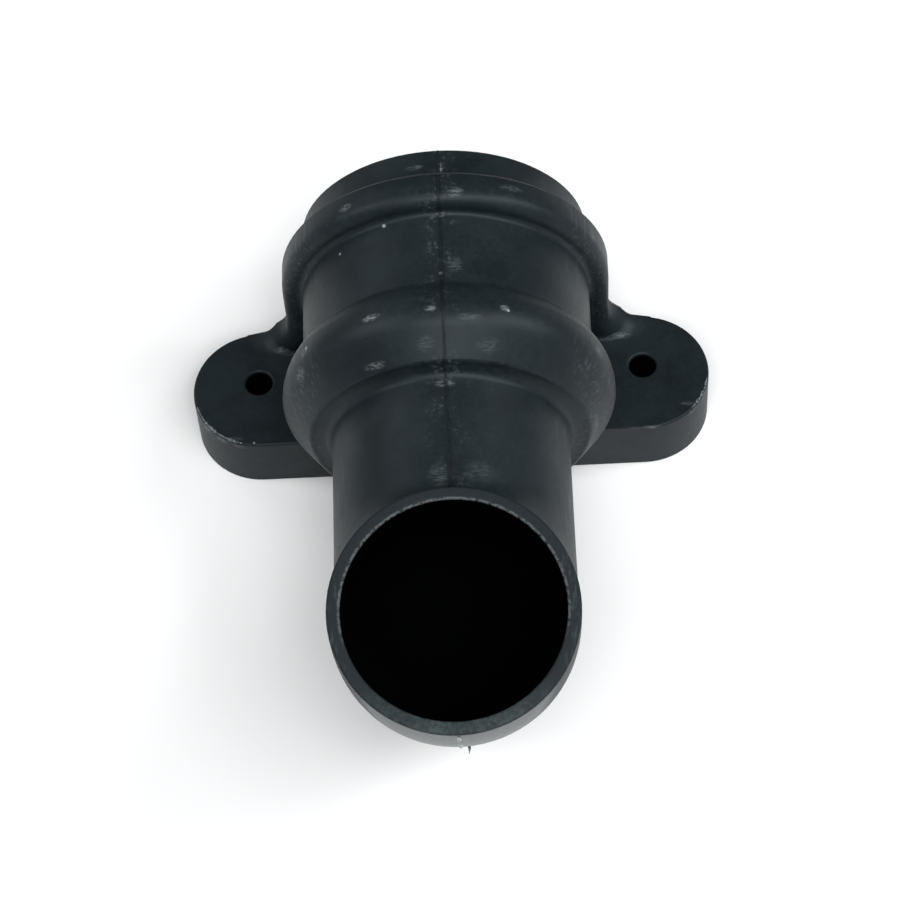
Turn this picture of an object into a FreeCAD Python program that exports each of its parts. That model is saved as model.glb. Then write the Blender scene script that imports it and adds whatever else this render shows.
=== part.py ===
import FreeCAD, Part
import math
import os

import Sketcher

# A downpipe shoe: socket with two bands, fixing ears against the wall, and a bent outlet.
# Millimetres. The wall is the plane z = 0 and the two fixing holes lie on the line y = 0.
# The pipe axis runs along Y, the socket looks to +Y and the outlet turns away from the wall.

doc = FreeCAD.newDocument("downpipe_shoe")
sheet = doc.addObject("Spreadsheet::Sheet", "sheet")

# Driving sizes
driving_sizes = [
    ("pipe_outside", 68.0, "outside diameter of the pipe and outlet"),
    ("pipe_wall", 3.8, "wall of the pipe and outlet"),
    ("axis_height", 48.2, "pipe axis off the wall"),
    ("socket_outside", 84.0, "outside diameter of the socket"),
    ("socket_wall", 7.0, "wall of the socket"),
    ("socket_rim", 32.6, "fixing line to the socket rim"),
    ("socket_depth", 57.7, "depth of the socket bore down to its stop"),
    ("rim_chamfer", 0.9, "chamfer on the outer edge of the rim"),
    ("rim_lead", 1.5, "lead-in chamfer inside the rim"),
    ("band_proud", 6.1, "height of both bands over the socket"),
    ("band_edge", 10.0, "fixing line to the near face of the upper band"),
    ("band_width", 11.8, "width of the upper band"),
    ("band_round", 3.8, "round on the near shoulder of the upper band"),
    ("band_chamfer", 2.6, "chamfer on the far shoulder of the upper band"),
    ("flare_round", 9.4, "hollow curve from the upper band out to each ear"),
    ("flare_sink", 0.5, "depth of the flare's foot below the face of the ears"),
    ("blend_round", 6.0, "hollow curve in plan from the band's far face to an ear"),
    ("foot_chamfer", 1.2, "sloping fill round the foot of the upper band and along the ears"),
    ("collar_crest", 25.3, "fixing line to the crest of the lower band"),
    ("collar_back_round", 14.5, "round of the lower band on the socket side"),
    ("collar_back_slope", 40.0, "slope of the lower band where it leaves the socket, degrees"),
    ("collar_front_round", 9.0, "round of the lower band on the pipe side"),
    ("collar_front_slope", 38.0, "slope of the lower band towards its lip, degrees"),
    ("collar_lip", 38.4, "fixing line to the lip of the lower band"),
    ("lip_slope", 2.2, "sloping fill where the lip drops to the pipe"),
    ("bend_start", 71.7, "fixing line to the start of the bend"),
    ("bend_round", 44.0, "centreline radius of the bend"),
    ("bend_turn", 76.0, "turn of the outlet away from the wall, degrees"),
    ("outlet_run", 7.0, "straight run after the bend"),
    ("hole_spacing", 115.0, "distance between the fixing holes"),
    ("hole_bore", 8.0, "diameter of a fixing hole"),
    ("ear_round", 19.7, "radius of an ear's end"),
    ("ear_drop", 2.2, "centre of an ear's end below the fixing line"),
    ("ear_depth", 20.5, "depth of the ears off the wall"),
]
for row, (alias, number, meaning) in enumerate(driving_sizes, start=1):
    sheet.set("A%d" % row, alias)
    sheet.set("B%d" % row, str(number))
    sheet.setAlias("B%d" % row, alias)
    sheet.set("C%d" % row, meaning)
doc.recompute()


class Measure:
    """A length with its number for drawing and its expression for binding."""

    def __init__(self, number, text):
        self.number = number
        self.text = text

    def __add__(self, other):
        other = measure(other)
        return Measure(self.number + other.number, "(%s + %s)" % (self.text, other.text))

    def __sub__(self, other):
        other = measure(other)
        return Measure(self.number - other.number, "(%s - %s)" % (self.text, other.text))

    def __mul__(self, other):
        other = measure(other)
        return Measure(self.number * other.number, "(%s * %s)" % (self.text, other.text))

    def __truediv__(self, other):
        other = measure(other)
        return Measure(self.number / other.number, "(%s / %s)" % (self.text, other.text))

    def __neg__(self):
        return Measure(-self.number, "(0 - %s)" % self.text)


def measure(value):
    if isinstance(value, Measure):
        return value
    return Measure(float(value), repr(value))


def size(alias):
    return Measure(float(sheet.get(alias)), "sheet.%s" % alias)


def sine(angle):
    return Measure(math.sin(math.radians(angle.number)), "sin(%s)" % angle.text)


def cosine(angle):
    return Measure(math.cos(math.radians(angle.number)), "cos(%s)" % angle.text)


zero = Measure(0.0, "0")

pipe_radius = size("pipe_outside") / 2
pipe_bore_radius = pipe_radius - size("pipe_wall")
socket_radius = size("socket_outside") / 2
socket_bore_radius = socket_radius - size("socket_wall")
band_radius = socket_radius + size("band_proud")
axis_height = size("axis_height")
band_near = size("band_edge")
band_far = size("band_edge") + size("band_width")
crest = -size("collar_crest")
lip = -size("collar_lip")
pipe_joint = lip - size("lip_slope") - 4
hole_half = size("hole_spacing") / 2
ear_centre = -size("ear_drop")


# Sketches
def plane_of(body, role):
    for feature in body.Origin.OriginFeatures:
        if feature.Role == role:
            return feature
    raise ValueError(role)


def new_sketch(body, name, role, along=zero, up=zero, off=zero):
    sketch = body.newObject("Sketcher::SketchObject", name)
    sketch.AttachmentSupport = [(plane_of(body, role), "")]
    sketch.MapMode = "FlatFace"
    sketch.setExpression(".AttachmentOffset.Base.x", along.text)
    sketch.setExpression(".AttachmentOffset.Base.y", up.text)
    sketch.setExpression(".AttachmentOffset.Base.z", off.text)
    return sketch


def hold(sketch, geometry, point, where):
    """Ties a sketch point to its two measures."""
    for kind, axis, value in (("DistanceX", -2, where[0]), ("DistanceY", -1, where[1])):
        if value.text == "0":
            sketch.addConstraint(Sketcher.Constraint("PointOnObject", geometry, point, axis))
            continue
        index = sketch.addConstraint(
            Sketcher.Constraint(kind, -1, 1, geometry, point, value.number))
        sketch.setExpression("Constraints[%d]" % index, value.text)


def at(point):
    return FreeCAD.Vector(point[0].number, point[1].number, 0)


def draw(sketch, points, arcs=None, closed=True):
    """Draws lines from point to point, and an arc round a given centre where arcs has one.

    arcs maps the number of a stretch to its centre and its sense, 1 for anticlockwise.
    """
    arcs = arcs or {}
    base = sketch.GeometryCount
    count = len(points) if closed else len(points) - 1
    ends = []
    for number in range(count):
        start = at(points[number])
        end = at(points[(number + 1) % len(points)])
        if number in arcs:
            centre, sense = arcs[number]
            middle = at(centre)
            first, last = (start, end) if sense > 0 else (end, start)
            from_angle = math.atan2(first.y - middle.y, first.x - middle.x)
            to_angle = math.atan2(last.y - middle.y, last.x - middle.x)
            circle = Part.Circle(middle, FreeCAD.Vector(0, 0, 1), (first - middle).Length)
            sketch.addGeometry(Part.ArcOfCircle(circle, from_angle, to_angle))
            ends.append((1, 2) if sense > 0 else (2, 1))
        else:
            sketch.addGeometry(Part.LineSegment(start, end))
            ends.append((1, 2))
    for number in range(count):
        following = (number + 1) % count
        if closed or number < count - 1:
            sketch.addConstraint(Sketcher.Constraint(
                "Coincident", base + number, ends[number][1], base + following, ends[following][0]))
    for number in range(count):
        hold(sketch, base + number, ends[number][0], points[number])
    if not closed:
        hold(sketch, base + count - 1, ends[-1][1], points[-1])
    for number, (centre, sense) in arcs.items():
        chord = at(points[(number + 1) % len(points)]) - at(points[number])
        flat = abs(chord.x) > abs(chord.y)
        kind, axis, value = ("DistanceY", -1, centre[1]) if flat else ("DistanceX", -2, centre[0])
        if value.text == "0":
            sketch.addConstraint(Sketcher.Constraint("PointOnObject", base + number, 3, axis))
            continue
        index = sketch.addConstraint(
            Sketcher.Constraint(kind, -1, 1, base + number, 3, value.number))
        sketch.setExpression("Constraints[%d]" % index, value.text)
    return sketch


def draw_circle(sketch, centre, radius):
    number = sketch.addGeometry(
        Part.Circle(at(centre), FreeCAD.Vector(0, 0, 1), radius.number))
    hold(sketch, number, 3, centre)
    index = sketch.addConstraint(Sketcher.Constraint("Radius", number, radius.number))
    sketch.setExpression("Constraints[%d]" % index, radius.text)


def dress_edges(body, kind, name, amount, wanted):
    """Rounds or chamfers the edges of the body's last feature that pass the test."""
    doc.recompute()
    base = body.Tip
    names = []
    for number, edge in enumerate(base.Shape.Edges, start=1):
        if wanted(edge):
            names.append("Edge%d" % number)
    if not names:
        raise ValueError("no edge for " + name)
    dressed = body.newObject("PartDesign::" + kind, name)
    dressed.Base = (base, names)
    dressed.setExpression("Radius" if kind == "Fillet" else "Size", amount.text)
    doc.recompute()
    return dressed


def near(value, target, slack=0.02):
    return abs(value - target) < slack


def curve_of(edge):
    try:
        return edge.Curve
    except TypeError:
        return None


def is_circle(edge, radius):
    curve = curve_of(edge)
    return isinstance(curve, Part.Circle) and near(curve.Radius, radius.number)


shoe = doc.addObject("PartDesign::Body", "downpipe_shoe")
shoe.Label = "downpipe_shoe"


# Upper band: round over the socket, straight down its sides, flaring out onto each ear
def band_outline():
    flare = size("flare_round")
    foot = band_radius + flare
    flare_foot = size("ear_depth") - size("flare_sink")
    flare_top = flare_foot + flare
    points = [
        (-foot, zero),
        (foot, zero),
        (foot, flare_foot),
        (band_radius, flare_top),
        (band_radius, axis_height),
        (-band_radius, axis_height),
        (-band_radius, flare_top),
        (-foot, flare_foot),
    ]
    arcs = {
        2: ((foot, flare_top), -1),
        4: ((zero, axis_height), 1),
        6: ((-foot, flare_top), -1),
    }
    return points, arcs


band_sketch = new_sketch(shoe, "band_outline", "XZ_Plane", off=-band_near)
draw(band_sketch, *band_outline())
band = shoe.newObject("PartDesign::Pad", "upper_band")
band.Profile = band_sketch
band.Reversed = True
band.setExpression("Length", size("band_width").text)
doc.recompute()


def on_shoulder(edge, face_at):
    box = edge.BoundBox
    flat = box.YLength < 0.01 and near(box.YMin, face_at.number)
    return flat and box.ZMax > size("ear_depth").number + 0.5


def on_near_shoulder(edge):
    return on_shoulder(edge, band_near)


def on_far_shoulder(edge):
    return on_shoulder(edge, band_far)


dress_edges(shoe, "Fillet", "near_shoulder", size("band_round"), on_near_shoulder)
dress_edges(shoe, "Chamfer", "far_shoulder", size("band_chamfer"), on_far_shoulder)

# Plan of the flare's far side, drawn in to meet the ear
ear_far = ear_centre + size("ear_round")
ear_near = ear_centre - size("ear_round")
blend = size("blend_round")
blend_centre = band_radius + blend + 2
blend_outer = band_radius + size("flare_round") + 4
blend_sketch = new_sketch(shoe, "flare_plan", "XY_Plane")
for side in (1, -1):
    blend_points = [
        (blend_centre * side, ear_far),
        (blend_centre * side - blend * side, ear_far + blend),
        (blend_centre * side - blend * side, band_far + blend),
        (blend_outer * side, band_far + blend),
        (blend_outer * side, ear_far),
    ]
    draw(blend_sketch, blend_points, {0: ((blend_centre * side, ear_far + blend), -side)})
flare_cut = shoe.newObject("PartDesign::Pocket", "flare_plan_cut")
flare_cut.Profile = blend_sketch
flare_cut.Type = "ThroughAll"
flare_cut.Midplane = True
doc.recompute()

# Ears: one flat bar against the wall with round ends
ear_sketch = new_sketch(shoe, "ear_outline", "XY_Plane")
draw(
    ear_sketch,
    [
        (-hole_half, ear_near),
        (hole_half, ear_near),
        (hole_half, ear_far),
        (-hole_half, ear_far),
    ],
    {
        1: ((hole_half, ear_centre), 1),
        3: ((-hole_half, ear_centre), 1),
    },
)
ears = shoe.newObject("PartDesign::Pad", "ears")
ears.Profile = ear_sketch
ears.setExpression("Length", size("ear_depth").text)
doc.recompute()


# Socket, lower band and the first of the pipe, turned about the pipe axis
def turned_section():
    rim = size("socket_rim")
    edge = size("rim_chamfer")
    wide = socket_radius
    top = band_radius
    back = size("collar_back_round")
    rise = size("collar_back_slope")
    back_low = top - back
    back_end = (crest + back * sine(rise), back_low + back * cosine(rise))
    back_foot = back_end[0] + (back_end[1] - wide) * cosine(rise) / sine(rise)
    front = size("collar_front_round")
    fall = size("collar_front_slope")
    front_low = top - front
    front_end = (crest - front * sine(fall), front_low + front * cosine(fall))
    lip_radius = front_end[1] - (front_end[0] - lip) * sine(fall) / cosine(fall)
    fill = size("lip_slope")
    points = [
        (rim, zero),
        (rim, wide - edge),
        (rim - edge, wide),
        (back_foot, wide),
        back_end,
        (crest, top),
        front_end,
        (lip, lip_radius),
        (lip, pipe_radius + fill),
        (lip - fill, pipe_radius),
        (pipe_joint, pipe_radius),
        (pipe_joint, zero),
    ]
    arcs = {
        4: ((crest, back_low), 1),
        5: ((crest, front_low), 1),
    }
    return points, arcs


socket_sketch = new_sketch(shoe, "socket_section", "YZ_Plane", up=axis_height)
draw(socket_sketch, *turned_section())
socket = shoe.newObject("PartDesign::Revolution", "socket")
socket.Profile = socket_sketch
socket.ReferenceAxis = (socket_sketch, ["H_Axis"])
socket.Angle = 360
doc.recompute()


# Bent outlet, drawn along its centreline
def outlet_route(start, overrun):
    turn = size("bend_turn")
    bend = size("bend_round")
    run = size("outlet_run") + overrun
    bend_at = -size("bend_start")
    bend_end = (bend_at - bend * sine(turn), bend - bend * cosine(turn))
    mouth = (bend_end[0] - run * cosine(turn), bend_end[1] + run * sine(turn))
    points = [(start, zero), (bend_at, zero), bend_end, mouth]
    arcs = {1: ((bend_at, bend), -1)}
    return points, arcs


def add_route(name, start, overrun):
    sketch = new_sketch(shoe, name, "YZ_Plane", up=axis_height)
    return draw(sketch, *outlet_route(start, overrun), closed=False)


pipe_route = add_route("outlet_route", pipe_joint, zero)
pipe_sketch = new_sketch(shoe, "pipe_section", "XZ_Plane", up=axis_height, off=-pipe_joint)
draw_circle(pipe_sketch, (zero, zero), pipe_radius)
outlet = shoe.newObject("PartDesign::AdditivePipe", "outlet")
outlet.Profile = pipe_sketch
outlet.Spine = pipe_route
doc.recompute()


# Sloping fill at the foot of the upper band, over the socket and along the ears
def at_band_foot(edge):
    box = edge.BoundBox
    if box.YLength > 0.01 or not near(box.YMin, band_near.number):
        return False
    return is_circle(edge, socket_radius) or near(box.ZMax, size("ear_depth").number)


dress_edges(shoe, "Chamfer", "band_foot", size("foot_chamfer"), at_band_foot)

# Socket bore with its sloping stop
stop_at = size("socket_rim") - size("socket_depth")
stop_run = socket_bore_radius - pipe_bore_radius
bore_sketch = new_sketch(shoe, "socket_bore_section", "YZ_Plane", up=axis_height)
draw(
    bore_sketch,
    [
        (size("socket_rim") + 1, zero),
        (size("socket_rim") + 1, socket_bore_radius + size("rim_lead") + 1),
        (size("socket_rim") - size("rim_lead"), socket_bore_radius),
        (stop_at, socket_bore_radius),
        (stop_at - stop_run, pipe_bore_radius),
        (pipe_joint, pipe_bore_radius),
        (pipe_joint, zero),
    ],
)
bore = shoe.newObject("PartDesign::Groove", "socket_bore")
bore.Profile = bore_sketch
bore.ReferenceAxis = (bore_sketch, ["H_Axis"])
bore.Angle = 360
doc.recompute()

# Bore through the bend
bore_route = add_route("outlet_bore_route", pipe_joint, measure(4))
bore_circle = new_sketch(shoe, "outlet_bore_section", "XZ_Plane", up=axis_height, off=-pipe_joint)
draw_circle(bore_circle, (zero, zero), pipe_bore_radius)
outlet_bore = shoe.newObject("PartDesign::SubtractivePipe", "outlet_bore")
outlet_bore.Profile = bore_circle
outlet_bore.Spine = bore_route
doc.recompute()

# Fixing holes
hole_sketch = new_sketch(shoe, "hole_centres", "XY_Plane", off=size("ear_depth"))
draw_circle(hole_sketch, (-hole_half, zero), size("hole_bore") / 2)
draw_circle(hole_sketch, (hole_half, zero), size("hole_bore") / 2)
holes = shoe.newObject("PartDesign::Pocket", "fixing_holes")
holes.Profile = hole_sketch
holes.Type = "ThroughAll"
doc.recompute()


# Checks before writing
def report_faults():
    faults = []
    for item in doc.Objects:
        if "Invalid" in item.State or "Error" in item.State:
            faults.append(item.Name)
    return faults


for item in shoe.Group:
    if hasattr(item, "Shape") and item.isDerivedFrom("PartDesign::Feature"):
        print(item.Name, round(item.Shape.Volume), item.Shape.isValid(), len(item.Shape.Solids))

faults = report_faults()
shape = shoe.Shape
if faults or shape.isNull() or not shape.isValid():
    raise RuntimeError("not built: %s" % ", ".join(faults))
box = shape.optimalBoundingBox()
print("box", [round(v, 2) for v in (box.XMin, box.YMin, box.ZMin, box.XMax, box.YMax, box.ZMax)])
print("centre of mass", shape.Solids[0].CenterOfMass, "volume", round(shape.Volume))

os.makedirs("parts", exist_ok=True)
shape.exportStep("parts/%s.step" % shoe.Label)
print("written", shoe.Label, "solids", len(shape.Solids), "faces", len(shape.Faces))
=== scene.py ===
import math

import bmesh
import bpy
from mathutils import Matrix, Vector, noise
from mathutils.bvhtree import BVHTree


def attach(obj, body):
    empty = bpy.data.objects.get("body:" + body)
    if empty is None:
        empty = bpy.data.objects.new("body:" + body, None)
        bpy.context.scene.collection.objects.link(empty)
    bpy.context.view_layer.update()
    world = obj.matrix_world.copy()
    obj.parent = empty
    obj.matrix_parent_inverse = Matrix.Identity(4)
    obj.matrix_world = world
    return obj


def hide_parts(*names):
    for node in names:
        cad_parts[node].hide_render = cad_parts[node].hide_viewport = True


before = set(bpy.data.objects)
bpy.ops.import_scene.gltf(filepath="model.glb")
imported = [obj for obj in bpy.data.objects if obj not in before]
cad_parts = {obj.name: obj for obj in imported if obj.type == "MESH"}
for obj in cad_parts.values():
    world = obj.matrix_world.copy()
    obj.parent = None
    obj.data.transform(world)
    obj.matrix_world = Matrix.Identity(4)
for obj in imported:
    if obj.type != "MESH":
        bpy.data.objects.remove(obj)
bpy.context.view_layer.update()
print("frame loaded")

millimetre = 0.001


# Shader maths
# A socket of a material's node tree that can be added, multiplied and shaped
class Signal:
    def __init__(self, surface, socket):
        self.surface = surface
        self.socket = socket

    def maths(self, operation, first, second=None):
        links = {0: first}
        if second is not None:
            links[1] = second
        made = self.surface.node("ShaderNodeMath", {"operation": operation}, links)
        return self.surface.out(made)

    def __add__(self, other):
        return self.maths("ADD", self, other)

    def __radd__(self, other):
        return self.maths("ADD", other, self)

    def __sub__(self, other):
        return self.maths("SUBTRACT", self, other)

    def __rsub__(self, other):
        return self.maths("SUBTRACT", other, self)

    def __mul__(self, other):
        return self.maths("MULTIPLY", self, other)

    def __rmul__(self, other):
        return self.maths("MULTIPLY", other, self)

    def __truediv__(self, other):
        return self.maths("DIVIDE", self, other)

    def __rtruediv__(self, other):
        return self.maths("DIVIDE", other, self)

    def __pow__(self, other):
        return self.maths("POWER", self, other)

    def size(self):
        return self.maths("ABSOLUTE", self)

    def least(self, other):
        return self.maths("MINIMUM", self, other)

    def most(self, other):
        return self.maths("MAXIMUM", self, other)

    # 0 at low, 1 at high, smooth between them; low may be the larger
    def ramp(self, low, high):
        made = self.surface.node(
            "ShaderNodeMapRange",
            {"interpolation_type": "SMOOTHSTEP", "clamp": True},
            {"Value": self, "From Min": low, "From Max": high, "To Min": 0.0, "To Max": 1.0},
        )
        return self.surface.out(made)


# A material with one Principled shader, built by small steps
class Surface:
    def __init__(self, name):
        self.material = bpy.data.materials.new(name)
        self.material.use_nodes = True
        self.tree = self.material.node_tree
        self.tree.nodes.clear()
        self.shader = self.node("ShaderNodeBsdfPrincipled")
        self.output = self.node("ShaderNodeOutputMaterial", links={"Surface": self.out(self.shader)})
        place = self.node("ShaderNodeTexCoord")
        self.place = self.out(place, "Object")
        parts = self.node("ShaderNodeSeparateXYZ", links={"Vector": self.place})
        self.x = self.out(parts, "X") / millimetre
        self.y = self.out(parts, "Y") / millimetre
        self.z = self.out(parts, "Z") / millimetre

    def node(self, kind, settings=None, links=None):
        made = self.tree.nodes.new(kind)
        for key, value in (settings or {}).items():
            setattr(made, key, value)
        for key, value in (links or {}).items():
            if isinstance(value, Signal):
                self.tree.links.new(value.socket, made.inputs[key])
            else:
                made.inputs[key].default_value = value
        return made

    def out(self, made, name=0):
        return Signal(self, made.outputs[name])

    # Noise from 0 to 1 whose blots are about spacing millimetres wide
    def noise(self, spacing, detail=3.0, roughness=0.55, stretch=(1, 1, 1), shift=0.0):
        scaled = self.node(
            "ShaderNodeVectorMath",
            {"operation": "MULTIPLY_ADD"},
            {0: self.place, 1: [1 / (spacing * millimetre * part) for part in stretch], 2: [shift] * 3},
        )
        made = self.node(
            "ShaderNodeTexNoise",
            links={"Vector": self.out(scaled), "Scale": 1.0, "Detail": detail, "Roughness": roughness},
        )
        return self.out(made, "Fac")

    def blend(self, factor, first, second):
        made = self.node("ShaderNodeMix", {"data_type": "RGBA"}, {"Factor": factor})
        for socket, value in ((made.inputs[6], first), (made.inputs[7], second)):
            if isinstance(value, Signal):
                self.tree.links.new(value.socket, socket)
            else:
                socket.default_value = (*value, 1.0)
        return Signal(self, made.outputs[2])

    def bump(self, height, depth):
        made = self.node(
            "ShaderNodeBump",
            links={"Height": height, "Distance": depth * millimetre, "Strength": 1.0},
        )
        return self.out(made, "Normal")

    # Mixes in a dull shader where the factor is 1, for depths that no light reaches
    def unlit(self, factor, colour):
        dull = self.node(
            "ShaderNodeBsdfPrincipled",
            links={"Base Color": (*colour, 1.0), "Roughness": 1.0, "Specular IOR Level": 0.0},
        )
        links = {0: factor, 1: self.out(self.shader), 2: self.out(dull)}
        made = self.node("ShaderNodeMixShader", links=links)
        self.tree.links.new(made.outputs[0], self.output.inputs["Surface"])

    def finish(self, **channels):
        for name, value in channels.items():
            socket = self.shader.inputs[name.replace("_", " ")]
            if isinstance(value, Signal):
                self.tree.links.new(value.socket, socket)
            else:
                socket.default_value = value
        return self.material


# Where the shoe's forms lie, in millimetres
form = {
    "axisHeight": 48.2,
    "bendStart": -71.7,
    "bendRound": 44.0,
    "bendTurn": 76.0,
    "outletRun": 7.0,
    "pipeRadius": 34.0,
    "earTop": 20.5,
    "holeHalf": 57.5,
    "earCentre": -2.2,
    "earRound": 19.7,
    "lip": -38.4,
    "crest": -25.3,
    "rim": 32.4,
    "lowestEdge": -149.0,
}
turn = math.radians(form["bendTurn"])
bendCentre = (form["bendStart"], form["axisHeight"] + form["bendRound"])
mouthAxis = (-math.cos(turn), math.sin(turn))
mouthCentre = (
    bendCentre[0] - form["bendRound"] * math.sin(turn) + form["outletRun"] * mouthAxis[0],
    bendCentre[1] - form["bendRound"] * math.cos(turn) + form["outletRun"] * mouthAxis[1],
)

# Moulded plastic of the shoe
plasticLook = {
    "dark": (0.0052, 0.0088, 0.0108),
    "light": (0.0104, 0.0162, 0.0192),
    # Pale grey for dust, and for painted highlight and painted reflection
    "dustAndSheen": (0.078, 0.098, 0.104),
    "scuff": (0.34, 0.38, 0.39),
    "cut": (0.034, 0.046, 0.045),
    # Near black for the painted shade along the mould line
    "paintedSeamShade": (0.004, 0.006, 0.007),
    # Near black for the painted shade in the bore
    "inside": (0.0012, 0.0014, 0.0014),
    "roughness": 0.50,
    "gloss": 0.23,
    "glossTint": (0.88, 0.97, 1.0, 1.0),
}
# Pale marks: place, reach along x, y and z, strength
scuffs = [
    ((-27.0, 15.0, 88.0), (4.2, 1.6, 1.9), 0.80),
    ((-20.3, -25.2, 91.8), (5.2, 1.5, 1.9), 0.95),
    ((-3.5, -25.8, 96.1), (2.2, 1.4, 1.5), 0.75),
    ((17.2, -24.9, 93.1), (2.0, 1.3, 1.6), 0.90),
    ((7.5, -28.5, 95.2), (5.0, 1.4, 2.0), 0.28),
    ((12.6, -34.6, 89.6), (5.0, 2.6, 3.0), 0.20),
    ((-19.6, -36.7, 84.9), (5.5, 1.2, 2.6), 0.60),
    ((-5.0, -34.0, 91.2), (3.5, 3.2, 3.0), 0.20),
    ((-41.5, -29.4, 70.5), (2.5, 2.6, 4.5), 0.50),
    ((-40.0, -24.5, 75.0), (2.4, 2.4, 3.4), 0.55),
    ((43.0, -25.2, 68.5), (2.2, 2.8, 5.0), 0.45),
    ((4.7, 13.2, 96.1), (3.2, 2.2, 1.6), 0.50),
    ((20.5, 16.5, 91.6), (6.5, 1.4, 2.6), 0.32),
    ((43.6, 14.7, 68.3), (1.6, 2.0, 5.5), 0.45),
    ((-7.2, 26.8, 89.6), (3.6, 1.2, 1.6), 0.45),
    ((3.8, -7.7, 90.0), (3.0, 3.4, 1.6), 0.25),
    ((-2.6, -71.0, 82.2), (4.2, 5.5, 2.0), 0.20),
    ((9.0, -70.0, 81.5), (6.5, 5.0, 3.0), 0.12),
    ((-0.4, -41.6, 82.2), (4.0, 1.6, 2.0), 0.60),
    ((0.7, 25.5, 90.5), (0.6, 3.4, 1.6), 0.90),
    ((0.2, 9.3, 90.8), (1.6, 0.9, 1.2), 0.90),
    ((51.0, 10.6, 20.9), (5.0, 1.2, 1.6), 0.50),
    ((-50.0, 10.8, 21.4), (4.0, 1.2, 1.6), 0.62),
    ((42.1, -36.4, 47.0), (1.4, 1.8, 9.0), 0.40),
    ((70.2, -14.1, 20.5), (3.0, 0.9, 1.0), 0.35),
    ((-66.2, -19.3, 20.5), (5.0, 0.9, 1.0), 0.32),
    ((-76.0, -8.5, 19.2), (2.2, 2.8, 1.8), 0.55),
    ((-73.2, -14.0, 18.9), (2.4, 2.8, 2.0), 0.80),
    ((-69.0, -18.2, 18.8), (3.2, 2.2, 1.7), 0.70),
    ((-63.5, -21.0, 18.9), (2.8, 1.8, 1.3), 0.35),
    ((75.2, -10.5, 19.0), (2.0, 3.0, 1.6), 0.50),
    ((71.5, -15.8, 19.2), (2.6, 2.4, 1.4), 0.45),
    ((60.0, -21.7, 20.2), (10.0, 0.7, 0.8), 0.45),
]
# Bright specks: place and reach
specks = [
    ((-16.0, 8.8, 87.0), 0.75),
    ((-29.2, 5.8, 78.4), 0.55),
    ((-0.2, -10.3, 90.2), 0.70),
    ((-39.4, -23.8, 75.7), 0.75),
    ((-59.0, -20.9, 20.5), 0.42),
    ((18.2, -25.6, 92.8), 0.55),
]


# 1 at the spot, falling to 0 at the reach
def within(surface, spot, reach):
    scaled = surface.node(
        "ShaderNodeVectorMath",
        {"operation": "MULTIPLY_ADD"},
        {
            0: surface.place,
            1: [1 / (part * millimetre) for part in reach],
            2: [-value / part for value, part in zip(spot, reach)],
        },
    )
    length = surface.node("ShaderNodeVectorMath", {"operation": "LENGTH"}, {0: surface.out(scaled)})
    return surface.out(length, "Value").ramp(1.0, 0.25)


# 1 on every face of the waterway and the socket's bore
def insideMask(surface):
    x, y, z = surface.x, surface.y, surface.z
    fromAxis = (x * x + (z - form["axisHeight"]) ** 2.0) ** 0.5
    inBend = ((y - bendCentre[0]) ** 2.0 + (z - bendCentre[1]) ** 2.0) ** 0.5 - form["bendRound"]
    fromBend = (inBend * inBend + x * x) ** 0.5
    inHole = ((x.size() - form["holeHalf"]) ** 2.0 + y * y) ** 0.5
    inHole = inHole.ramp(5.2, 4.9) * z.ramp(19.9, 19.0) * z.ramp(-1.0, -0.5)
    inPipe = fromAxis.ramp(32.3, 31.9) * y.ramp(-72.8, -72.4)
    inSocket = fromAxis.ramp(38.7, 38.3) * y.ramp(-28.2, -27.8)
    inOutlet = fromBend.ramp(32.3, 31.9) * y.ramp(-71.0, -71.4)
    return inPipe.most(inSocket).most(inOutlet).most(inHole)


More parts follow.
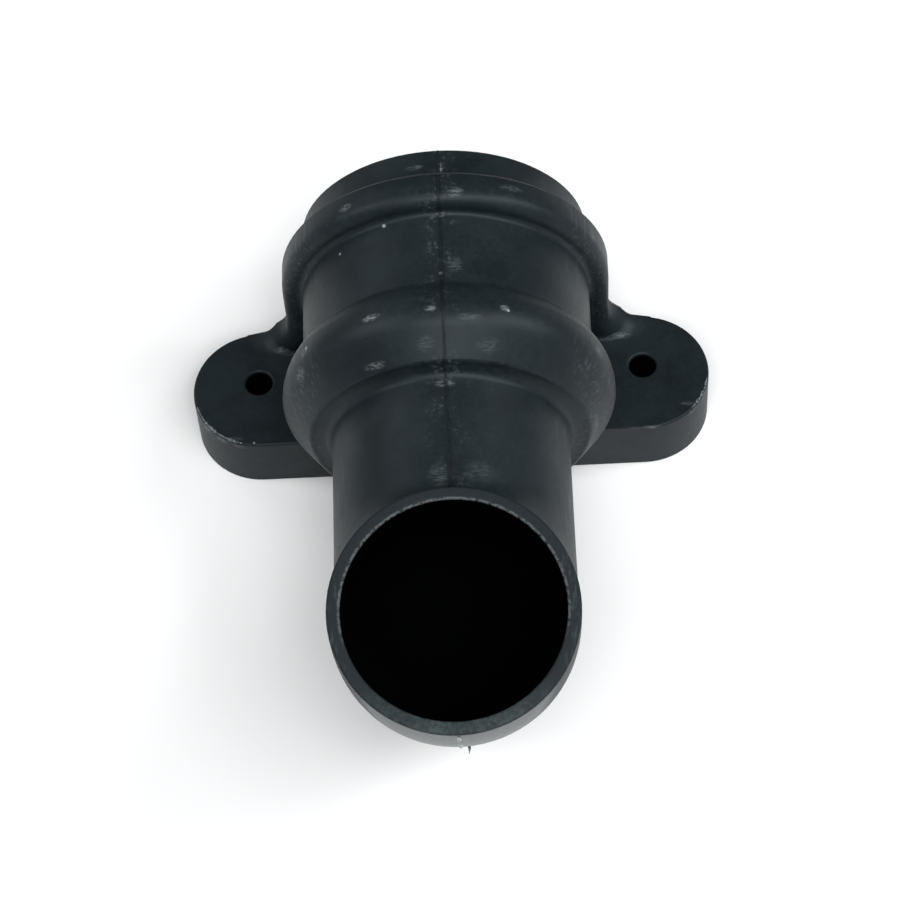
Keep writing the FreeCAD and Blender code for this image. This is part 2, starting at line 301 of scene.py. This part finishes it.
def makePlastic():
    surface = Surface("mouldedPlastic")
    x, y, z = surface.x, surface.y, surface.z
    broad = surface.noise(26, detail=1.0)
    blots = surface.noise(7.0, detail=2.0, shift=5.0)
    fine = surface.noise(1.3, detail=3.0, roughness=0.65, shift=7.0)
    grain = surface.noise(0.42, detail=1.0, shift=3.0)
    tone = (broad * 0.40 + blots * 0.35 + fine * 0.25).ramp(0.36, 0.66)
    colour = surface.blend(tone, plasticLook["dark"], plasticLook["light"])

    # Handling dust, thicker along the mould line; on the crests, the lip's edge and the top of the upper
    # band, wear with painted highlight
    across = x.size()
    seamZone = across.ramp(7.5, 1.0) * blots.ramp(0.48, 0.64)
    flecks = fine.ramp(0.50, 0.72)
    nearCrest = (y - form["crest"]).size().ramp(5.0, 0.5) + (y - form["lip"]).size().ramp(1.6, 0.3)
    nearBand = (y - 13.5).size().ramp(4.0, 0.5) * z.ramp(40.0, 55.0)
    crestWearAndSheen = (nearCrest + nearBand).least(1.0) * broad.ramp(0.44, 0.62)
    strewn = surface.noise(0.9, detail=1.0, shift=51.0).ramp(0.72, 0.80)
    dustAndSheen = (seamZone * flecks * 0.55 + crestWearAndSheen * flecks * 0.08 + strewn * 0.10).least(1.0)
    colour = surface.blend(dustAndSheen, colour, plasticLook["dustAndSheen"])

    # Scuffs where the photograph has them
    rubbed = None
    for spot, reach, strength in scuffs:
        one = within(surface, spot, reach) * strength
        rubbed = one if rubbed is None else rubbed.most(one)
    brushed = surface.noise(1.0, detail=3.0, roughness=0.7, stretch=(3.2, 0.6, 0.6), shift=61.0)
    rubbed = rubbed * brushed.ramp(0.36, 0.66)
    dots = None
    for spot, reach in specks:
        one = within(surface, spot, (reach, reach, reach))
        dots = one if dots is None else dots.most(one)
    pale = (rubbed * 0.5 + dots * 0.8).least(1.0)
    colour = surface.blend(pale, colour, plasticLook["scuff"])

    # Mould line, a crease with painted shade along it, with breaks
    fromMouth = (y - mouthCentre[0]) * mouthAxis[0] + (z - mouthCentre[1]) * mouthAxis[1]
    inside = insideMask(surface) * fromMouth.ramp(-0.25, -0.55)
    creaseShade = (x + (blots - 0.5) * 1.2).size().ramp(0.95, 0.35) * fine.ramp(0.30, 0.45)
    colour = surface.blend(creaseShade * 0.85, colour, plasticLook["paintedSeamShade"])

    # Cut face of the mouth
    cutFace = fromMouth.ramp(-0.45, -0.2)
    sawn = (fine * 0.6 + blots * 0.4).ramp(0.38, 0.62)
    cutColour = surface.blend(sawn, plasticLook["light"], plasticLook["cut"])
    cutColour = surface.blend(y.ramp(-148.0, -132.0), cutColour, plasticLook["dark"])
    colour = surface.blend(cutFace, colour, cutColour)
    tilt = (y - mouthCentre[0]) * mouthAxis[1] - (z - mouthCentre[1]) * mouthAxis[0]
    fromCentre = (x * x + tilt * tilt) ** 0.5
    innerEdge = fromCentre.ramp(31.2, 30.7) * fromMouth.ramp(-1.3, -0.7)
    innerEdge = innerEdge * y.ramp(-127.0, -117.0) * fine.ramp(0.38, 0.56)
    colour = surface.blend(innerEdge * 0.20, colour, plasticLook["scuff"])
    # Painted reflection of the bright floor on the heel below the mouth, where the roughness is also lower
    heelSheen = y.ramp(-134.0, -140.0) * fromMouth.ramp(-0.5, -0.9) * (1.0 - inside)
    colour = surface.blend(heelSheen * (0.35 + fine * 0.4), colour, plasticLook["dustAndSheen"])

    # Drawn streaks down the flanks of the socket and pipe
    streaks = surface.noise(1.1, detail=2.0, stretch=(1, 11, 1), shift=15.0).ramp(0.50, 0.72)
    flank = across.ramp(33.0, 40.0) * z.ramp(24.0, 30.0) + across.ramp(26.0, 33.5) * y.ramp(-40.0, -44.0)
    colour = surface.blend((streaks * flank * 0.30).least(0.30), colour, plasticLook["dustAndSheen"])
    # Painted shade: a near-black dull shader over the bore and the waterway behind the mouth
    surface.unlit(inside, plasticLook["inside"])

    # Drawn lines on the walls of the ears
    wall = z.ramp(20.6, 19.6) * y.ramp(-19.5, -21.0)
    drawn = surface.noise(1.4, detail=1.0, stretch=(14, 14, 0.5), shift=91.0)
    height = grain * 0.15 + fine * 0.30 + blots * 0.9 + drawn * wall * 0.6 + fine * cutFace * 1.6
    roughness = plasticLook["roughness"] + (fine - 0.5) * 0.2 + dustAndSheen * 0.1 + pale * 0.15
    roughness = (roughness + cutFace * 0.12 - heelSheen * 0.14).least(0.95)
    return surface.finish(
        Base_Color=colour,
        Roughness=roughness,
        Normal=surface.bump(height, 0.06),
        Specular_IOR_Level=plasticLook["gloss"],
        Specular_Tint=plasticLook["glossTint"],
    )


plastic = makePlastic()
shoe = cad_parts["downpipe_shoe"]
shoe.data.materials.clear()
shoe.data.materials.append(plastic)
print("plastic made")


# Dressed moulding: a copy of the solid's own mesh with its corners eased
edgeLook = {
    "sharpest": 50.0,  # degrees between two faces
    "ease": 0.7,
    "segments": 3,
    "mouthBelow": -80.0,
    "earReach": (-24.0, 30.0),
    "barAbove": 8.0,  # the back bar keeps its corners from here up, between the ears
    "barHalf": 62.0,
    "near": 0.05,
}


def makeMoulding():
    mesh = shoe.data.copy()
    mesh.name = "shoeMoulding"
    work = bmesh.new()
    work.from_mesh(mesh)
    bmesh.ops.remove_doubles(work, verts=work.verts, dist=2e-6)
    bmesh.ops.recalc_face_normals(work, faces=work.faces)
    least = math.radians(edgeLook["sharpest"])
    refineWebs(work)
    corners = [
        edge for edge in work.edges
        if len(edge.link_faces) == 2 and edge.calc_face_angle(0.0) > least
    ]
    sharp = [edge for edge in corners if easedEdge(edge)]
    for edge in corners:
        if edge.is_convex and not easedEdge(edge):
            edge.smooth = False
    bmesh.ops.bevel(
        work,
        geom=sharp,
        offset=edgeLook["ease"] * millimetre,
        offset_type="OFFSET",
        segments=edgeLook["segments"],
        profile=0.5,
        affect="EDGES",
        clamp_overlap=False,
    )
    for vertex in work.verts:
        vertex.co.z += webRise(vertex.co) * millimetre
    work.to_mesh(mesh)
    work.free()
    mesh.materials.clear()
    mesh.materials.append(plastic)
    mesh.polygons.foreach_set("use_smooth", [True] * len(mesh.polygons))
    made = bpy.data.objects.new("shoeMoulding", mesh)
    bpy.context.scene.collection.objects.link(made)
    weighted = made.modifiers.new("evenFaces", "WEIGHTED_NORMAL")
    weighted.mode = "FACE_AREA"
    weighted.weight = 50
    weighted.keep_sharp = True
    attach(made, "root")
    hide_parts("downpipe_shoe")
    print("moulding dressed", len(sharp), "edges", len(mesh.polygons), "faces")


# Edges of the mouth, the ears, the holes and the lower band's lip
def easedEdge(edge):
    middle = (edge.verts[0].co + edge.verts[1].co) / 2 / millimetre
    near = edgeLook["near"]
    low, high = edgeLook["earReach"]
    atLip = abs(middle.y - form["lip"]) < near
    atMouth = middle.y < edgeLook["mouthBelow"]
    atEar = low < middle.y < high and (middle.z < near or abs(middle.z - form["earTop"]) < near)
    atBar = middle.y > edgeLook["barAbove"] and abs(middle.x) < edgeLook["barHalf"]
    return atLip or atMouth or (atEar and not atBar)


# The web from the upper band down to each ear, a little fuller on the far side than in the solid
webLook = {
    "rise": 1.7,
    "across": (45.5, 50.0, 51.5, 61.0),
    "along": (9.5, 16.0),
    "up": (12.0, 20.0, 28.0, 42.0),
    "finest": 1.3,
}


def smoothShare(value, low, high):
    part = min(1.0, max(0.0, (value - low) / (high - low)))
    return part * part * (3 - 2 * part)


# Millimetres by which the moulding is raised at a place
def webRise(place):
    across = abs(place.x) / millimetre
    up = place.z / millimetre
    start, peak, hold, end = webLook["across"]
    low, full, top, gone = webLook["up"]
    risen = smoothShare(across, start, peak) * smoothShare(across, end, hold)
    risen *= smoothShare(place.y / millimetre, *webLook["along"])
    risen *= smoothShare(up, low, full) * smoothShare(up, gone, top)
    return webLook["rise"] * risen


# Cuts the faces round the webs finer, so that they bend smoothly
def refineWebs(work):
    for _ in range(7):
        edges = []
        for edge in work.edges:
            if edge.calc_length() < webLook["finest"] * millimetre:
                continue
            start, end = edge.verts[0].co, edge.verts[1].co
            if any(webRise(start.lerp(end, part / 8)) > 0.02 for part in range(9)):
                edges.append(edge)
        if not edges:
            break
        bmesh.ops.subdivide_edges(work, edges=edges, cuts=1, use_grid_fill=True)


makeMoulding()


# Mould line and flash, as fine raised strips
def meshPiece(name, points, faces, material):
    mesh = bpy.data.meshes.new(name)
    mesh.from_pydata([[value * millimetre for value in point] for point in points], [], faces)
    mesh.validate()
    mesh.polygons.foreach_set("use_smooth", [True] * len(mesh.polygons))
    mesh.materials.append(material)
    made = bpy.data.objects.new(name, mesh)
    bpy.context.scene.collection.objects.link(made)
    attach(made, "root")
    return made


shoeFaces = BVHTree.FromPolygons(
    [vertex.co for vertex in shoe.data.vertices],
    [face.vertices for face in shoe.data.polygons],
)


# First point of the shoe that a ray meets, and the face's normal, in millimetres
def surfaceAt(origin, direction):
    point, normal, _, _ = shoeFaces.ray_cast(Vector(origin) * millimetre, Vector(direction))
    if point is None:
        return None
    return point / millimetre, normal


def bendPoint(angle, radius):
    return Vector((0, bendCentre[0] - radius * math.sin(angle), bendCentre[1] - radius * math.cos(angle)))


# Points and normals down the front from the rim to the mouth's upper edge
def frontRoute():
    route = []
    step = 0.45
    for number in range(int((form["rim"] - form["bendStart"]) / step) + 1):
        hit = surfaceAt((0.02, form["rim"] - number * step, 140), (0, 0, -1))
        if hit:
            route.append(hit)
    inner = form["bendRound"] - form["pipeRadius"]
    for number in range(1, 19):
        angle = turn * number / 18
        outward = Vector((0, math.sin(angle), math.cos(angle)))
        route.append((bendPoint(angle, inner), outward))
    last, outward = route[-1]
    for number in range(1, 8):
        along = Vector((0, mouthAxis[0], mouthAxis[1]))
        route.append((last + along * (number * 0.95), outward))
    return route


# Points and normals down the heel from the mouth's lower edge to the underside
def heelRoute():
    outer = form["bendRound"] + form["pipeRadius"]
    start = bendPoint(turn, outer)
    outward = Vector((0, -math.sin(turn), -math.cos(turn)))
    along = Vector((0, mouthAxis[0], mouthAxis[1]))
    route = [(start + along * (4.9 - number * 0.8), outward) for number in range(6)]
    for number in range(0, 91):
        angle = turn * (1 - number / 90)
        route.append((bendPoint(angle, outer), Vector((0, -math.sin(angle), -math.cos(angle)))))
    for number in range(1, 62):
        route.append((Vector((0, form["bendStart"] + number * 0.5, 14.2)), Vector((0, 0, -1))))
    return route


ridgeLook = {"width": 0.5, "height": 0.17, "sink": 0.12, "rough": 0.8}
scarLook = {"width": 1.5, "height": 0.55, "sink": 0.15, "rough": 2.4}


# A strip with a rounded top, uneven in width and height like worn mould edges
def makeRidge(name, route, seed, look, material):
    points = []
    faces = []
    profile = ((-1.0, -1.0), (-0.55, 0.45), (0.0, 1.0), (0.55, 0.45), (1.0, -1.0))
    for number, (point, normal) in enumerate(route):
        swell = noise.noise((number * 0.21, seed, 0.3))
        nick = max(0.0, noise.noise((number * 0.09, seed, 5.1)) - 0.18) * 2.4
        tall = look["height"] * max(0.12, 0.75 + swell * look["rough"] - nick)
        wide = look["width"] * (0.85 + noise.noise((number * 0.15, seed, 9.7)) * look["rough"] * 0.7)
        wander = noise.noise((number * 0.07, seed, 14.2)) * 0.12
        for across, up in profile:
            lift = tall * up if up > 0 else look["sink"] * up
            spot = point + normal * lift + Vector((wander + wide * across, 0, 0))
            spot.y = max(spot.y, form["lowestEdge"])
            points.append(spot)
        if number:
            for side in range(len(profile) - 1):
                first = (number - 1) * len(profile) + side
                faces.append((first, first + 1, first + 1 + len(profile), first + len(profile)))
    return meshPiece(name, points, faces, material)


def makeTornPlastic():
    surface = Surface("tornFlash")
    fine = surface.noise(0.7, detail=3.0, shift=17.0)
    colour = surface.blend(fine.ramp(0.35, 0.65), (0.030, 0.040, 0.044), (0.170, 0.212, 0.222))
    return surface.finish(
        Base_Color=colour,
        Roughness=0.5 + fine * 0.2,
        Normal=surface.bump(fine, 0.12),
        Specular_IOR_Level=0.3,
    )


def makeWhitened():
    surface = Surface("stressWhitened")
    fine = surface.noise(0.6, detail=3.0, shift=19.0)
    colour = surface.blend(fine.ramp(0.38, 0.62), (0.10, 0.12, 0.125), (0.62, 0.66, 0.68))
    return surface.finish(Base_Color=colour, Roughness=0.6 + fine * 0.2, Normal=surface.bump(fine, 0.15))


# A point at the upper edge of an ear's round end; angle runs from +X towards -Y
def earEdgePoint(side, angle, out=0.0, up=0.0):
    reach = form["earRound"] + out
    return Vector((
        side * (form["holeHalf"] + reach * math.cos(angle)),
        form["earCentre"] - reach * math.sin(angle),
        form["earTop"] + up,
    ))


# A thin torn fin along an ear's upper edge
def makeFlash(name, side, fromAngle, toAngle, tallest, seed):
    points = []
    faces = []
    count = int(abs(toAngle - fromAngle) * form["earRound"] / 0.22) + 2
    for number in range(count):
        share = number / (count - 1)
        angle = fromAngle + (toAngle - fromAngle) * share
        torn = noise.noise((number * 0.33, seed, 2.2)) * 0.9 + noise.noise((number * 0.11, seed, 8.2))
        tall = tallest * max(0.04, torn + 0.15) * min(1.0, 5 * share, 5 * (1 - share))
        lean = noise.noise((number * 0.2, seed, 4.4)) * 0.12
        points.append(earEdgePoint(side, angle, -1.25, -0.25))
        points.append(earEdgePoint(side, angle, -0.45 + lean, tall * 0.8))
        points.append(earEdgePoint(side, angle, min(-0.02, tall * 0.5 - 0.3), tall * 0.35 - 0.15))
        points.append(earEdgePoint(side, angle, -0.25, -1.1))
        if number:
            for step in range(3):
                first = (number - 1) * 4 + step
                faces.append((first, first + 1, first + 5, first + 4))
    return meshPiece(name, points, faces, tornPlastic)


# A small bent sliver that tapers to a point
def makeBurr(name, foot, outward, length, width, seed):
    foot = Vector(foot)
    outward = Vector(outward).normalized()
    side = outward.cross(Vector((0.2, 0.4, 1.0))).normalized()
    third = outward.cross(side)
    points = []
    faces = []
    rings = 6
    for ring in range(rings):
        share = ring / (rings - 1)
        bend = side * (0.35 * length * share * share)
        centre = foot + outward * (length * share - 0.2) + bend
        for corner in range(5):
            angle = corner * math.tau / 5
            thick = width * (1 - share * 0.85) * (0.8 + 0.4 * noise.noise((ring * 1.7, corner * 2.3, seed)))
            points.append(centre + (side * math.cos(angle) + third * math.sin(angle) * 0.5) * thick)
        if ring:
            for corner in range(5):
                first = (ring - 1) * 5
                following = (corner + 1) % 5
                faces.append((first + corner, first + following, first + 5 + following, first + 5 + corner))
    faces.append(tuple(range((rings - 1) * 5, rings * 5)))
    return meshPiece(name, points, faces, tornPlastic)


# Torn fins: side, first and last angle round the ear, height and seed
fins = {
    "flashLeft": (-1, 0.28, 1.30, 0.90, 2.6),
    "flashRight": (1, 0.16, 0.78, 0.85, 7.4),
}
# Slivers: foot, lean, length, width and seed
burrs = {
    "burrHeel": ((2.1, -138.6, 52.1), (0.25, -0.80, -0.50), 2.3, 0.75, 1.0),
    "burrRight": ((76.3, -5.6, 20.3), (0.25, -0.2, 1.0), 0.9, 0.32, 4.0),
    "burrRightLow": ((75.4, -9.0, 20.3), (0.1, -0.3, 1.0), 0.7, 0.28, 9.0),
}
tornPlastic = makeTornPlastic()
whitened = makeWhitened()
frontRidge = makeRidge("mouldLineFront", frontRoute(), 1.7, ridgeLook, plastic)
heelRidge = makeRidge("mouldLineHeel", heelRoute(), 6.3, ridgeLook, plastic)
makeRidge("heelScar", heelRoute()[0:19], 3.9, scarLook, whitened)
for name, values in fins.items():
    makeFlash(name, *values)
for name, values in burrs.items():
    makeBurr(name, *values)
print("mould line made", len(frontRidge.data.vertices), len(heelRidge.data.vertices))

# Floor
floorLook = {"half": 3.0, "colour": (0.93, 0.94, 0.945)}


def makeFloor():
    mesh = bpy.data.meshes.new("paleFloor")
    half = floorLook["half"]
    corners = [(-half, -half, 0), (half, -half, 0), (half, half, 0), (-half, half, 0)]
    mesh.from_pydata(corners, [], [(0, 1, 2, 3)])
    made = bpy.data.objects.new("paleFloor", mesh)
    bpy.context.scene.collection.objects.link(made)
    surface = Surface("paleSweep")
    mottle = surface.noise(60, detail=2.0)
    tint = surface.blend(mottle, floorLook["colour"], [part * 0.985 for part in floorLook["colour"]])
    mesh.materials.append(surface.finish(Base_Color=tint, Roughness=0.8))
    return made


floor = makeFloor()
print("floor made")


# Lights
def softLight(name, place, aim, width, power):
    lamp = bpy.data.lights.new(name, "AREA")
    lamp.shape = "SQUARE"
    lamp.size = width
    lamp.energy = power
    made = bpy.data.objects.new(name, lamp)
    made.location = place
    made.rotation_euler = (Vector(aim) - Vector(place)).to_track_quat("-Z", "Y").to_euler()
    bpy.context.scene.collection.objects.link(made)
    return made


# Softboxes by swing round from the front, rise above the floor and power in watts
studio = {
    "frontSoftbox": (0, 60, 7.9),
    "rightFrontSoftbox": (45, 60, 4.5),
    "rightSoftbox": (90, 46, 7.4),
    "leftSoftbox": (270, 46, 5.2),
    "backLeftSoftbox": (225, 30, 1.2),
}
studioCentre = Vector((0, -0.05, 0.03))
studioReach = 1.2
softboxWidth = 0.5
for name, (swing, rise, power) in studio.items():
    swing = math.radians(swing)
    rise = math.radians(rise)
    outward = Vector((math.cos(rise) * math.sin(swing), -math.cos(rise) * math.cos(swing), math.sin(rise)))
    softLight(name, studioCentre + outward * studioReach, studioCentre, softboxWidth, power)

# White to the camera, nearly dark to the part, as in a booth with black sides
world = bpy.data.worlds.new("whiteRoom")
world.use_nodes = True
background = world.node_tree.nodes["Background"]
background.inputs["Color"].default_value = (1, 1, 1, 1)
lightPath = world.node_tree.nodes.new("ShaderNodeLightPath")
strength = world.node_tree.nodes.new("ShaderNodeMapRange")
strength.inputs["To Min"].default_value = 0.03
strength.inputs["To Max"].default_value = 1.0
world.node_tree.links.new(lightPath.outputs["Is Camera Ray"], strength.inputs["Value"])
world.node_tree.links.new(strength.outputs["Result"], background.inputs["Strength"])
bpy.context.scene.world = world
bpy.context.scene.view_settings.view_transform = "Standard"
print("lights made")

# Camera
cameraPlace = {
    "aim": (-0.00077, -0.03162, 0.02908),
    "distance": 0.98134,
    "swing": 2.07,
    "rise": 59.13,
    "roll": -4.43,
    "lens": 134.14,
}


def makeCamera():
    swing = math.radians(cameraPlace["swing"])
    rise = math.radians(cameraPlace["rise"])
    roll = math.radians(cameraPlace["roll"])
    outward = Vector((math.sin(swing) * math.cos(rise), -math.cos(swing) * math.cos(rise), math.sin(rise)))
    right = (-outward).cross(Vector((0, 0, 1))).normalized()
    up = right.cross(-outward)
    turnedRight = right * math.cos(roll) + up * math.sin(roll)
    turnedUp = up * math.cos(roll) - right * math.sin(roll)
    place = Vector(cameraPlace["aim"]) + outward * cameraPlace["distance"]
    lens = bpy.data.cameras.new("photoCamera")
    lens.lens = cameraPlace["lens"]
    lens.sensor_width = 36.0
    lens.clip_end = 20.0
    made = bpy.data.objects.new("photoCamera", lens)
    made.matrix_world = Matrix(
        (
            (turnedRight.x, turnedUp.x, outward.x, place.x),
            (turnedRight.y, turnedUp.y, outward.y, place.y),
            (turnedRight.z, turnedUp.z, outward.z, place.z),
            (0, 0, 0, 1),
        )
    )
    bpy.context.scene.collection.objects.link(made)
    bpy.context.scene.camera = made


makeCamera()
print("camera made")
